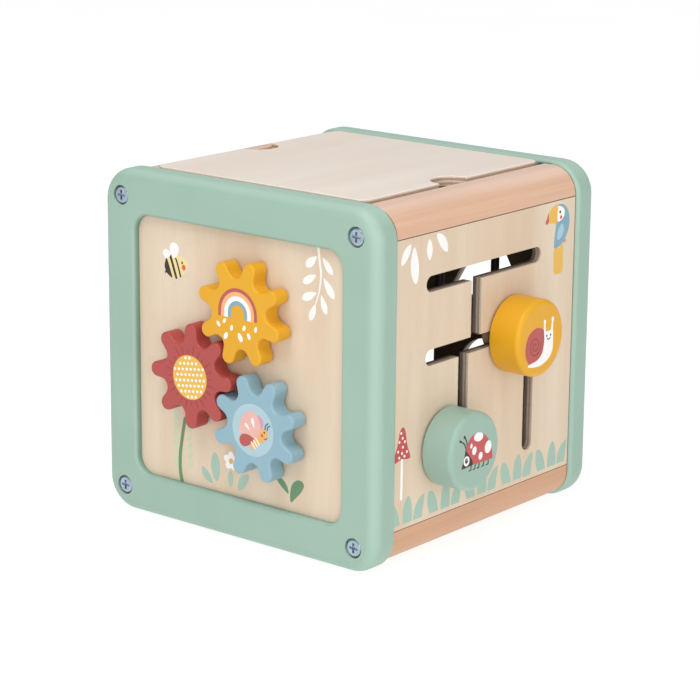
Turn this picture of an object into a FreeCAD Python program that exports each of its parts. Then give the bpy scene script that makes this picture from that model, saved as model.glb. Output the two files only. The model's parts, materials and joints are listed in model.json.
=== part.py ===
import FreeCAD, Part
import math
import os

# Wooden baby activity cube, in millimetres.
# X runs to the right along the front face, Y runs from the front to the back, Z is up.
# Every piece is drawn about the middle of the cube; write_part() then moves it so that the
# origin is the centre of the whole footprint, knobs and gears included, at floor level.

# Cube and its two painted end frames
CUBE = 200.0
HALF = CUBE / 2
FRAME_THICKNESS = 18.0
FRAME_CORNER_R = 19.0
FRAME_OUTER_EDGE_R = 7.5
FRAME_INNER_EDGE_R = 3.0
WINDOW_HALF = 75.5
WINDOW_CORNER_R = 10.0
WINDOW_EDGE_R = 2.0
PANEL_SETBACK = 4.5
FRAME_FACE = HALF - FRAME_THICKNESS

# Plywood panels
PLY = 6.0
FRAMED_PANEL_HALF = 83.25
FRAMED_PANEL_CORNER_R = 10.0
REBATE_PLAY = 0.25
PANEL_FRONT = HALF - PANEL_SETBACK
PANEL_BACK = PANEL_FRONT - PLY
SIDE_FACE = 98.0
SIDE_BACK = SIDE_FACE - PLY
SEAM = 0.2

# Beech corner rails, which run from frame to frame
RAIL_OUTER = 98.0
RAIL_ROUND_R = 16.0
TOP_SEAM_Z = 82.0
BOTTOM_SEAM_Z = -78.0
RAIL_INNER = 66.0
LEDGE_EDGE = 76.0
TOP_TONGUE_Z = 70.0
BOTTOM_TONGUE_Z = -66.0

# Lift-off lid with its two finger notches; it lies pushed up to the front frame
LID_TOP_Z = 100.4
LID_UNDER_Z = LID_TOP_Z - PLY
LID_HALF_X = 75.5
LID_FRONT_Y = -81.7
LID_REAR_Y = 77.0
LID_CORNER_R = 5.5
LID_EDGE_R = 0.8
NOTCH_R = 12.5
NOTCH_OFFSET_Y = 4.5

# Bead loops under the lid: a wire goes down, round half a circle and up again
WIRE_R = 2.5
WIRE_FOOT = 4.0
LOOP_R = 26.5
LOOP_STRAIGHT = 62.0
LOOP_X = 50.0
LOOP_Y = 45.0
LOOP_CENTRE_Z = LID_UNDER_Z - LOOP_STRAIGHT
BEAD_R = 10.0
BEAD_LENGTH = 13.0
BEAD_BORE_R = 3.5
BEAD_EDGE_R = 0.8
BEAD_ANGLE = 21.0

# Screws that hold the frames to the rails
FRAME_SCREW_AT = 85.0
SCREW_R = 2.0
SCREW_LENGTH = 45.0
SCREW_HEAD_R = 5.0
SCREW_HEAD_HEIGHT = 2.4
COUNTERBORE_R = 5.7
COUNTERBORE_DEPTH = 2.8
SCREW_CLEARANCE_R = 2.25
CROSS_WIDTH = 1.5
CROSS_LENGTH = 5.6
CROSS_DEPTH = 1.6

# Gears on the front panel: name, centre X, centre Z, angle of one tooth in degrees
GEARS = [
    ("red", -26.2, -8.4, 0.0),
    ("yellow", 9.3, 32.9, -17.0),
    ("blue", 20.5, -29.7, 19.5),
]
TEETH = 8
GEAR_TIP_R = 30.0
GEAR_ROOT_R = 19.7
TOOTH_ROUND_R = 4.3
VALLEY_ROUND_R = 4.8
GEAR_GAP = 0.8
GEAR_THICKNESS = 11.2
GEAR_EDGE_R = 1.3
GEAR_FRONT = PANEL_FRONT + GEAR_GAP + GEAR_THICKNESS
AXLE_R = 1.9
AXLE_IN_GEAR = 8.0
BUSH_R = 3.0
BUSH_FLANGE_R = 6.0
RUNNING_CLEARANCE = 0.05
WASHER_R = 5.0
WASHER_THICKNESS = 1.0
SMALL_HEAD_R = 3.8
SMALL_HEAD_HEIGHT = 2.4

# Slot maze in the right panel and its two knobs
SLOT_R = 4.5
SLOT_TOP_Z = 53.8
SLOT_MIDDLE_Z = 13.2
SLOT_LOW_Z = -38.6
SLOT_LEFT_Y = -51.6
SLOT_CENTRE_Y = -11.3
SLOT_DROP_Y = -22.1
SLOT_RIGHT_Y = 39.7
SLOT_TOP_END_Y = 44.4
SLOT_RIGHT_END_Z = -55.0
KNOB_R = 22.0
KNOB_THICKNESS = 20.0
KNOB_GAP = 1.0
KNOB_EDGE_R = 3.0
KNOB_BACK_EDGE_R = 1.0
KNOB_BACK = SIDE_FACE + KNOB_GAP
KNOB_FRONT = KNOB_BACK + KNOB_THICKNESS
KNOB_SCREW_DEPTH = 10.0
SPOOL_R = 4.4
RETAINER_R = 12.0
RETAINER_THICKNESS = 4.0
RETAINER_GAP = 1.0
KNOBS = [("yellow", 21.5, SLOT_MIDDLE_Z), ("mint", -37.4, SLOT_LOW_Z)]

# Shape-sorting holes in the rear panel
HOLE_X = 32.0
HOLE_Z = 35.0
CIRCLE_R = 20.0
HEXAGON_R = 24.0
TRIANGLE_HALF_BASE = 30.0
TRIANGLE_HALF_HEIGHT = 26.0
SQUARE_HALF = 24.5
HOLE_CORNER_R = 1.5

# The footprint's centre: knobs reach past the right side and gears past the front
SHIFT_X = -(KNOB_FRONT - HALF) / 2
SHIFT_Y = (GEAR_FRONT - HALF) / 2

OUT_DIR = "parts"


def vec(x, y, z):
    return FreeCAD.Vector(x, y, z)


def write_part(name, shape):
    """Move the piece into the footprint's frame and write its STEP file."""
    placed = shape.copy()
    placed.translate(vec(SHIFT_X, SHIFT_Y, HALF))
    placed.exportStep(os.path.join(OUT_DIR, name + ".step"))


def box(low, high):
    """Box between two opposite corners."""
    sides = [b - a for a, b in zip(low, high)]
    return Part.makeBox(sides[0], sides[1], sides[2], vec(*low))


def rod(radius, start, end):
    """Cylinder from one point to another."""
    axis = vec(*end) - vec(*start)
    return Part.makeCylinder(radius, axis.Length, vec(*start), axis)


def sleeve(radius, bore, start, end):
    """Tube from one point to another."""
    return rod(radius, start, end).cut(rod(bore, start, end))


def rounded_outline(points, radius):
    """Closed flat wire through the points (a convex outline), each corner rounded to the radius."""
    edges = []
    starts = []
    ends = []
    for i in range(len(points)):
        here = vec(*points[i])
        back = vec(*points[i - 1]) - here
        ahead = vec(*points[(i + 1) % len(points)]) - here
        half_angle = back.getAngle(ahead) / 2
        reach = radius / math.tan(half_angle)
        back.normalize()
        ahead.normalize()
        middle = back + ahead
        middle.normalize()
        start = here + back * reach
        end = here + ahead * reach
        crown = here + middle * (radius / math.sin(half_angle) - radius)
        starts.append(start)
        ends.append(end)
        edges.append(Part.Arc(start, crown, end).toShape())
    for i in range(len(points)):
        if ends[i - 1].distanceToPoint(starts[i]) > 0.001:
            edges.append(Part.makeLine(ends[i - 1], starts[i]))
    return Part.Wire(Part.__sortEdges__(edges))


def upright_slab(outline_xz, radius, y_low, y_high):
    """Slab across Y whose outline is given by its X and Z points."""
    points = [(x, y_low, z) for x, z in outline_xz]
    face = Part.Face(rounded_outline(points, radius))
    return face.extrude(vec(0, y_high - y_low, 0))


def square_points(half):
    return [(-half, -half), (half, -half), (half, half), (-half, half)]


def edges_at_y(shape, y, least, most):
    """Edges that lie at one Y and no nearer or further from the middle than the two reaches."""
    found = []
    for edge in shape.Edges:
        bounds = edge.BoundBox
        reach = max(abs(bounds.XMin), abs(bounds.XMax), abs(bounds.ZMin), abs(bounds.ZMax))
        level = abs(bounds.YMin - y) < 0.01 and abs(bounds.YMax - y) < 0.01
        if level and least < reach < most:
            found.append(edge)
    return found


def corner_spots():
    return [(sx * FRAME_SCREW_AT, sz * FRAME_SCREW_AT) for sx in (-1, 1) for sz in (-1, 1)]


def make_front_frame():
    """Rounded square ring with a rebate behind its window for the panel."""
    front = -HALF
    back = -FRAME_FACE
    ring = upright_slab(square_points(HALF), FRAME_CORNER_R, front, back)
    ring = ring.makeFillet(FRAME_OUTER_EDGE_R, edges_at_y(ring, front, 0, HALF + 1))
    ring = ring.makeFillet(FRAME_INNER_EDGE_R, edges_at_y(ring, back, HALF - 1, HALF + 1))
    ring = ring.cut(upright_slab(square_points(WINDOW_HALF), WINDOW_CORNER_R, front - 1, back + 1))
    ring = ring.makeFillet(WINDOW_EDGE_R, edges_at_y(ring, front, 0, WINDOW_HALF + 1))
    rebate_half = FRAMED_PANEL_HALF + REBATE_PLAY
    rebate = upright_slab(square_points(rebate_half), FRAMED_PANEL_CORNER_R, -PANEL_FRONT, back + 1)
    ring = ring.cut(rebate)
    for x, z in corner_spots():
        ring = ring.cut(rod(COUNTERBORE_R, (x, front - 1, z), (x, front + COUNTERBORE_DEPTH, z)))
        ring = ring.cut(rod(SCREW_CLEARANCE_R, (x, front, z), (x, back + 1, z)))
    return ring


def turned_round(shape):
    """The same piece at the other end of the cube."""
    other = shape.copy()
    other.rotate(vec(0, 0, 0), vec(0, 0, 1), 180)
    return other


def make_frame_screw(x, z):
    """Domed cross-head wood screw, driven from the front."""
    seat = -HALF + COUNTERBORE_DEPTH
    shank = rod(SCREW_R, (x, seat, z), (x, seat + SCREW_LENGTH, z))
    head = rod(SCREW_HEAD_R, (x, seat - SCREW_HEAD_HEIGHT, z), (x, seat, z))
    top = seat - SCREW_HEAD_HEIGHT
    rim = [e for e in head.Edges if abs(e.BoundBox.YMax - top) < 0.01 and e.BoundBox.XLength > 1]
    head = head.makeFillet(SCREW_HEAD_HEIGHT / 2, rim)
    long_half = CROSS_LENGTH / 2
    thin_half = CROSS_WIDTH / 2
    floor = top + CROSS_DEPTH
    head = head.cut(box((x - long_half, top - 1, z - thin_half), (x + long_half, floor, z + thin_half)))
    head = head.cut(box((x - thin_half, top - 1, z - long_half), (x + thin_half, floor, z + long_half)))
    return head.fuse(shank).removeSplitter()


def make_front_screws():
    return Part.makeCompound([make_frame_screw(x, z) for x, z in corner_spots()])


def rail_profile(seam_z, tongue_z):
    """Section of the top right rail: round outside, a rebate for the side panel and one for the lid."""
    flat_end = RAIL_OUTER - RAIL_ROUND_R
    mid = RAIL_ROUND_R * math.sqrt(0.5)
    round_start = vec(flat_end, 0, RAIL_OUTER)
    round_mid = vec(flat_end + mid, 0, RAIL_OUTER - RAIL_ROUND_R + mid)
    round_end = vec(RAIL_OUTER, 0, RAIL_OUTER - RAIL_ROUND_R)
    edges = [Part.Arc(round_start, round_mid, round_end).toShape()]
    ledge_z = LID_UNDER_Z if seam_z > 0 else RAIL_OUTER - PLY
    corners = [
        round_end,
        vec(RAIL_OUTER, 0, abs(seam_z)),
        vec(SIDE_BACK, 0, abs(seam_z)),
        vec(SIDE_BACK, 0, abs(tongue_z)),
        vec(RAIL_INNER, 0, abs(tongue_z)),
        vec(RAIL_INNER, 0, ledge_z),
        vec(LEDGE_EDGE, 0, ledge_z),
        vec(LEDGE_EDGE, 0, RAIL_OUTER),
        round_start,
    ]
    for start, end in zip(corners, corners[1:]):
        if start.distanceToPoint(end) > 0.001:
            edges.append(Part.makeLine(start, end))
    return Part.Face(Part.Wire(edges))


def make_rail(seam_z, tongue_z, side):
    """Rail at the right (side 1) or left (side -1), at the top or, for a negative seam, the bottom."""
    face = rail_profile(seam_z, tongue_z)
    rail = face.extrude(vec(0, 2 * FRAME_FACE, 0))
    rail.translate(vec(0, -FRAME_FACE, 0))
    screw_end = HALF - COUNTERBORE_DEPTH - SCREW_LENGTH
    for end in (-1, 1):
        start = (FRAME_SCREW_AT, end * (FRAME_FACE + 1), FRAME_SCREW_AT)
        tip = (FRAME_SCREW_AT, end * screw_end, FRAME_SCREW_AT)
        rail = rail.cut(rod(SCREW_R, start, tip))
    if seam_z < 0:
        rail = rail.mirror(vec(0, 0, 0), vec(0, 0, 1))
    if side < 0:
        rail = rail.mirror(vec(0, 0, 0), vec(1, 0, 0))
    return rail


def make_framed_panel():
    return upright_slab(
        square_points(FRAMED_PANEL_HALF), FRAMED_PANEL_CORNER_R, -PANEL_FRONT, -PANEL_BACK
    )


def make_front_panel():
    """Plywood square with one hole for each gear's bush."""
    panel = make_framed_panel()
    for _, x, z, _ in GEARS:
        panel = panel.cut(rod(BUSH_R, (x, -PANEL_FRONT - 1, z), (x, -PANEL_BACK + 1, z)))
    return panel


def sorter_hole(points):
    return upright_slab(points, HOLE_CORNER_R, PANEL_BACK - 1, PANEL_FRONT + 1)


def make_rear_panel():
    """Plywood square with a triangle, a circle, a square and a hexagon to post shapes through."""
    panel = turned_round(make_framed_panel())
    triangle = [
        (HOLE_X - TRIANGLE_HALF_BASE, HOLE_Z - TRIANGLE_HALF_HEIGHT),
        (HOLE_X + TRIANGLE_HALF_BASE, HOLE_Z - TRIANGLE_HALF_HEIGHT),
        (HOLE_X, HOLE_Z + TRIANGLE_HALF_HEIGHT),
    ]
    square = [(x - HOLE_X, z - HOLE_Z) for x, z in square_points(SQUARE_HALF)]
    hexagon = []
    for i in range(6):
        angle = math.radians(60 * i)
        spoke_x = HEXAGON_R * math.cos(angle)
        spoke_z = HEXAGON_R * math.sin(angle)
        hexagon.append((spoke_x - HOLE_X, spoke_z + HOLE_Z))
    for points in (triangle, square, hexagon):
        panel = panel.cut(sorter_hole(points))
    circle = rod(CIRCLE_R, (HOLE_X, PANEL_BACK - 1, -HOLE_Z), (HOLE_X, PANEL_FRONT + 1, -HOLE_Z))
    return panel.cut(circle)


def make_side_panel():
    """Plywood rectangle between the rails and the frames, on the right side."""
    return box(
        (SIDE_BACK, -FRAME_FACE, BOTTOM_SEAM_Z + SEAM), (SIDE_FACE, FRAME_FACE, TOP_SEAM_Z - SEAM)
    )


def slot_run(start, end):
    """Straight slot with round ends through the right panel, between two (Y, Z) points."""
    low_y = min(start[0], end[0])
    high_y = max(start[0], end[0])
    low_z = min(start[1], end[1])
    high_z = max(start[1], end[1])
    near = SIDE_BACK - 1
    far = SIDE_FACE + 1
    if high_y - low_y > high_z - low_z:
        straight = box((near, low_y, low_z - SLOT_R), (far, high_y, high_z + SLOT_R))
    else:
        straight = box((near, low_y - SLOT_R, low_z), (far, high_y + SLOT_R, high_z))
    first = rod(SLOT_R, (near, start[0], start[1]), (far, start[0], start[1]))
    last = rod(SLOT_R, (near, end[0], end[1]), (far, end[0], end[1]))
    return straight.fuse([first, last])


def make_right_panel():
    """Side panel with the branching slots that the two knobs travel in."""
    runs = [
        ((SLOT_LEFT_Y, SLOT_TOP_Z), (SLOT_TOP_END_Y, SLOT_TOP_Z)),
        ((SLOT_CENTRE_Y, SLOT_TOP_Z), (SLOT_CENTRE_Y, SLOT_MIDDLE_Z)),
        ((SLOT_LEFT_Y, SLOT_MIDDLE_Z), (SLOT_RIGHT_Y, SLOT_MIDDLE_Z)),
        ((SLOT_RIGHT_Y, SLOT_MIDDLE_Z), (SLOT_RIGHT_Y, SLOT_RIGHT_END_Z)),
        ((SLOT_DROP_Y, SLOT_MIDDLE_Z), (SLOT_DROP_Y, SLOT_LOW_Z)),
        ((SLOT_LEFT_Y, SLOT_LOW_Z), (SLOT_DROP_Y, SLOT_LOW_Z)),
    ]
    cutters = [slot_run(start, end) for start, end in runs]
    maze = cutters[0].fuse(cutters[1:]).removeSplitter()
    return make_side_panel().cut(maze)


def make_left_panel():
    return turned_round(make_side_panel())


def make_bottom_panel():
    """Plywood floor, set up into the rebates of the bottom rails."""
    half_x = LEDGE_EDGE - SEAM
    half_y = FRAME_FACE - SEAM
    return box((-half_x, -half_y, -RAIL_OUTER), (half_x, half_y, -RAIL_OUTER + PLY))


def make_lid_board():
    """Loose plywood board with round corners, two finger notches and blind holes for the wires."""
    points = [
        (-LID_HALF_X, LID_FRONT_Y, LID_UNDER_Z),
        (LID_HALF_X, LID_FRONT_Y, LID_UNDER_Z),
        (LID_HALF_X, LID_REAR_Y, LID_UNDER_Z),
        (-LID_HALF_X, LID_REAR_Y, LID_UNDER_Z),
    ]
    board = Part.Face(rounded_outline(points, LID_CORNER_R)).extrude(vec(0, 0, PLY))
    for side in (-1, 1):
        x = side * LID_HALF_X
        y = -side * NOTCH_OFFSET_Y
        board = board.cut(rod(NOTCH_R, (x, y, LID_UNDER_Z - 1), (x, y, LID_TOP_Z + 1)))
    rim = []
    for edge in board.Edges:
        bounds = edge.BoundBox
        if bounds.ZLength < 0.01:
            rim.append(edge)
    board = board.makeFillet(LID_EDGE_R, rim)
    for side in (-1, 1):
        for y in loop_feet(side):
            foot = (side * LOOP_X, y, LID_UNDER_Z - 1)
            board = board.cut(rod(WIRE_R, foot, (foot[0], y, LID_UNDER_Z + WIRE_FOOT)))
    return board


def loop_feet(side):
    """The two Y positions where a loop's legs enter the lid."""
    return [side * LOOP_Y - LOOP_R, side * LOOP_Y + LOOP_R]


def make_wire(side):
    """One bent wire: down a leg, round the bottom of the loop and up the other leg."""
    x = side * LOOP_X
    y_near, y_far = loop_feet(side)
    top = LID_UNDER_Z + WIRE_FOOT
    first = Part.makeLine(vec(x, y_near, top), vec(x, y_near, LOOP_CENTRE_Z))
    bottom = vec(x, side * LOOP_Y, LOOP_CENTRE_Z - LOOP_R)
    bend = Part.Arc(vec(x, y_near, LOOP_CENTRE_Z), bottom, vec(x, y_far, LOOP_CENTRE_Z)).toShape()
    last = Part.makeLine(vec(x, y_far, LOOP_CENTRE_Z), vec(x, y_far, top))
    path = Part.Wire([first, bend, last])
    circle = Part.makeCircle(WIRE_R, vec(x, y_near, top), vec(0, 0, 1))
    return path.makePipeShell([Part.Wire([circle])], True, False)


def make_bead(side, angle):
    """Rounded bead threaded on a loop, the angle being counted from the loop's lowest point."""
    centre = vec(side * LOOP_X, side * LOOP_Y, LOOP_CENTRE_Z)
    bead = Part.makeSphere(BEAD_R)
    half = BEAD_LENGTH / 2
    bead = bead.common(box((-BEAD_R, -half, -BEAD_R), (BEAD_R, half, BEAD_R)))
    bead = bead.cut(rod(BEAD_BORE_R, (0, -BEAD_R, 0), (0, BEAD_R, 0)))
    rims = [edge for edge in bead.Edges if edge.BoundBox.YLength < 0.01]
    bead = bead.makeFillet(BEAD_EDGE_R, rims)
    bead.translate(centre - vec(0, 0, LOOP_R))
    bead.rotate(centre, vec(1, 0, 0), angle)
    return bead


def gear_outline():
    """Flower-shaped gear outline: round tips and round valleys joined by straight flanks."""
    step = math.pi / TEETH
    tip_at = GEAR_TIP_R - TOOTH_ROUND_R
    valley_at = GEAR_ROOT_R + VALLEY_ROUND_R
    tip = vec(tip_at, 0, 0)
    valley = vec(valley_at * math.cos(step), valley_at * math.sin(step), 0)
    link = valley - tip
    lean = math.acos((TOOTH_ROUND_R + VALLEY_ROUND_R) / link.Length)
    flank = math.atan2(link.y, link.x) - lean
    flank_normal = vec(math.cos(flank), math.sin(flank), 0)
    tip_end = tip + flank_normal * TOOTH_ROUND_R
    valley_start = valley - flank_normal * VALLEY_ROUND_R
    edges = []
    for i in range(TEETH):
        turn = FreeCAD.Rotation(vec(0, 0, 1), math.degrees(2 * step * i))
        next_turn = FreeCAD.Rotation(vec(0, 0, 1), math.degrees(2 * step * (i + 1)))
        tip_start = vec(tip_end.x, -tip_end.y, 0)
        valley_end = next_turn.multVec(vec(valley_start.x, -valley_start.y, 0))
        valley_low = turn.multVec(vec(math.cos(step), math.sin(step), 0) * GEAR_ROOT_R)
        crown = turn.multVec(vec(GEAR_TIP_R, 0, 0))
        end = turn.multVec(tip_end)
        start = turn.multVec(valley_start)
        edges.append(Part.Arc(turn.multVec(tip_start), crown, end).toShape())
        edges.append(Part.makeLine(end, start))
        edges.append(Part.Arc(start, valley_low, valley_end).toShape())
        edges.append(Part.makeLine(valley_end, next_turn.multVec(tip_start)))
    return Part.Wire(edges)


def make_gear(x, z, angle):
    """Gear standing off the front panel, with a blind hole in its back for the axle screw."""
    gear = Part.Face(gear_outline()).extrude(vec(0, 0, GEAR_THICKNESS))
    rims = [edge for edge in gear.Edges if edge.BoundBox.ZLength < 0.01]
    gear = gear.makeFillet(GEAR_EDGE_R, rims)
    gear = gear.cut(rod(AXLE_R, (0, 0, -1), (0, 0, AXLE_IN_GEAR)))
    gear.rotate(vec(0, 0, 0), vec(0, 0, 1), angle)
    gear.rotate(vec(0, 0, 0), vec(1, 0, 0), 90)
    gear.translate(vec(x, -PANEL_FRONT - GEAR_GAP, z))
    return gear


def make_gear_bush(x, z):
    """Flanged sleeve pressed into the panel, with the gear's screw turning in it."""
    bore = AXLE_R + RUNNING_CLEARANCE
    tube = sleeve(BUSH_R, bore, (x, -PANEL_FRONT, z), (x, -PANEL_BACK, z))
    flange = sleeve(BUSH_FLANGE_R, bore, (x, -PANEL_FRONT - GEAR_GAP, z), (x, -PANEL_FRONT, z))
    return tube.fuse(flange).removeSplitter()


def make_gear_washer(x, z):
    bore = AXLE_R + RUNNING_CLEARANCE
    return sleeve(WASHER_R, bore, (x, -PANEL_BACK, z), (x, -PANEL_BACK + WASHER_THICKNESS, z))


def make_gear_screw(x, z):
    """Screw that goes through the washer and the bush into the back of the gear."""
    seat = -PANEL_BACK + WASHER_THICKNESS
    tip = -PANEL_FRONT - GEAR_GAP - AXLE_IN_GEAR
    shank = rod(AXLE_R, (x, seat, z), (x, tip, z))
    head = rod(SMALL_HEAD_R, (x, seat, z), (x, seat + SMALL_HEAD_HEIGHT, z))
    return shank.fuse(head).removeSplitter()


def make_knob(y, z):
    """Thick round knob with softened edges and a blind hole in its back."""
    knob = rod(KNOB_R, (KNOB_BACK, y, z), (KNOB_FRONT, y, z))
    front_rim = [e for e in knob.Edges if abs(e.BoundBox.XMin - KNOB_FRONT) < 0.01]
    knob = knob.makeFillet(KNOB_EDGE_R, front_rim)
    back_rim = [e for e in knob.Edges if abs(e.BoundBox.XMax - KNOB_BACK) < 0.01]
    knob = knob.makeFillet(KNOB_BACK_EDGE_R, back_rim)
    return knob.cut(rod(SCREW_R, (KNOB_BACK - 1, y, z), (KNOB_BACK + KNOB_SCREW_DEPTH, y, z)))


def make_knob_spool(y, z):
    """Sleeve that rides in the slot and keeps the knob off the panel."""
    start = (SIDE_BACK - RETAINER_GAP, y, z)
    return sleeve(SPOOL_R, SCREW_R + RUNNING_CLEARANCE, start, (KNOB_BACK, y, z))


def make_knob_retainer(y, z):
    """Disc behind the panel that keeps the knob in its slot."""
    face = SIDE_BACK - RETAINER_GAP
    return sleeve(RETAINER_R, SCREW_R + RUNNING_CLEARANCE, (face - RETAINER_THICKNESS, y, z), (face, y, z))


def make_knob_screw(y, z):
    seat = SIDE_BACK - RETAINER_GAP - RETAINER_THICKNESS
    shank = rod(SCREW_R, (seat, y, z), (KNOB_BACK + KNOB_SCREW_DEPTH, y, z))
    head = rod(SMALL_HEAD_R, (seat - SMALL_HEAD_HEIGHT, y, z), (seat, y, z))
    return shank.fuse(head).removeSplitter()


def write_shell():
    front_frame = make_front_frame()
    front_screws = make_front_screws()
    write_part("front_frame", front_frame)
    write_part("rear_frame", turned_round(front_frame))
    write_part("front_frame_screws", front_screws)
    write_part("rear_frame_screws", turned_round(front_screws))
    for side_name, side in (("right", 1), ("left", -1)):
        write_part("rail_top_" + side_name, make_rail(TOP_SEAM_Z, TOP_TONGUE_Z, side))
        write_part("rail_bottom_" + side_name, make_rail(BOTTOM_SEAM_Z, BOTTOM_TONGUE_Z, side))
    write_part("front_panel", make_front_panel())
    write_part("rear_panel", make_rear_panel())
    write_part("right_panel", make_right_panel())
    write_part("left_panel", make_left_panel())
    write_part("bottom_panel", make_bottom_panel())


def write_lid():
    write_part("lid_board", make_lid_board())
    write_part("bead_wire_right", make_wire(1))
    write_part("bead_wire_left", make_wire(-1))
    write_part("bead_red", make_bead(1, BEAD_ANGLE))
    write_part("bead_yellow", make_bead(1, -BEAD_ANGLE))
    write_part("bead_blue", make_bead(-1, BEAD_ANGLE))
    write_part("bead_mint", make_bead(-1, -BEAD_ANGLE))


def write_gears():
    for name, x, z, angle in GEARS:
        write_part(name + "_gear", make_gear(x, z, angle))
        write_part(name + "_gear_bush", make_gear_bush(x, z))
        write_part(name + "_gear_washer", make_gear_washer(x, z))
        write_part(name + "_gear_screw", make_gear_screw(x, z))


def write_knobs():
    for name, y, z in KNOBS:
        write_part(name + "_knob", make_knob(y, z))
        write_part(name + "_knob_spool", make_knob_spool(y, z))
        write_part(name + "_knob_retainer", make_knob_retainer(y, z))
        write_part(name + "_knob_screw", make_knob_screw(y, z))


os.makedirs(OUT_DIR, exist_ok=True)
write_shell()
write_lid()
write_gears()
write_knobs()
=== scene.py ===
"""Looks of the wooden activity cube: painted frames, plywood, beech, printed pictures, studio.

Lengths in the drawing calls are millimetres from the middle of the cube, right and up on the
printed face; Sheet.point turns them into metres. Every picture is thin layers of ink.
"""

import json
import math

import bpy
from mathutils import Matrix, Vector
from mathutils.geometry import tessellate_polygon


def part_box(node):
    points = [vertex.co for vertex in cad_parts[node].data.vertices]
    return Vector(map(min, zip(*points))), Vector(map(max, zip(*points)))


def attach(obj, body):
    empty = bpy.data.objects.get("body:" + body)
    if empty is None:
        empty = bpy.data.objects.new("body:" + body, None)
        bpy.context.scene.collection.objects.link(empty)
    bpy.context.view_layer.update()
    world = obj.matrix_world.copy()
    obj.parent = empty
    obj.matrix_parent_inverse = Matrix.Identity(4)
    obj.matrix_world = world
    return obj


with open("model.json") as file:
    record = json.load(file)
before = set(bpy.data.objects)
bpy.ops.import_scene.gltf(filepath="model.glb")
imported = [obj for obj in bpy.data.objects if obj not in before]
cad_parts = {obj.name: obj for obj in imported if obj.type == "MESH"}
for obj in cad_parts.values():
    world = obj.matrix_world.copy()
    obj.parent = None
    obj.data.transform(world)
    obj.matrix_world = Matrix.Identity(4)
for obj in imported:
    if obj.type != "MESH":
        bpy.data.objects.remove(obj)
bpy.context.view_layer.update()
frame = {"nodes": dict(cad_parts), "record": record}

MM = 0.001

# Printed ink, in millimetres: thickness of one level, depth sunk in the wood, and the small
# steps between neighbouring outlines, so that no two tops share a plane
INK = 0.04
INK_SINK = 0.03
INK_STAGGER = 0.003
INK_STEPS = 5

FRONT_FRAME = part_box("front_frame")
REAR_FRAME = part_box("rear_frame")
CENTRE = Vector(
    (
        (FRONT_FRAME[0].x + FRONT_FRAME[1].x) / 2,
        (FRONT_FRAME[0].y + REAR_FRAME[1].y) / 2,
        (FRONT_FRAME[0].z + FRONT_FRAME[1].z) / 2,
    )
)
X_AXIS = Vector((1, 0, 0))
Y_AXIS = Vector((0, 1, 0))
Z_AXIS = Vector((0, 0, 1))


def linear(red, green, blue):
    """Scene-linear colour of an 8-bit display colour."""
    channels = []
    for value in (red, green, blue):
        share = value / 255
        channels.append(share / 12.92 if share <= 0.04045 else ((share + 0.055) / 1.055) ** 2.4)
    return (*channels, 1.0)


MINT = linear(152, 181, 166)
YELLOW = linear(224, 164, 26)
RED = linear(175, 74, 69)
BLUE = linear(140, 175, 189)
MAROON = linear(182, 86, 83)
PEACH = linear(240, 175, 119)
PINK = linear(229, 178, 168)
LILAC = linear(206, 152, 176)
ORANGE = linear(233, 176, 98)
BEE_YELLOW = linear(234, 216, 154)
CHEEK = linear(226, 84, 62)
WING_BLUE = linear(162, 198, 214)
SKY = linear(128, 166, 183)
PALE_BLUE = linear(172, 198, 207)
SUN = linear(229, 182, 80)
STEM_GREEN = linear(102, 141, 101)
# Painted shade on the front frame's window wall
WALL_SHADE_MINT = linear(84, 122, 112)
# Painted shade in the gaps behind the lid's rear corners
GAP_SHADE = linear(44, 40, 32)
PALE_GREEN = linear(197, 208, 175)
CREAM = linear(246, 243, 240)
DARK = linear(58, 44, 42)
DEEP_RED = linear(136, 52, 56)


# ---------------------------------------------------------------- materials


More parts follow.
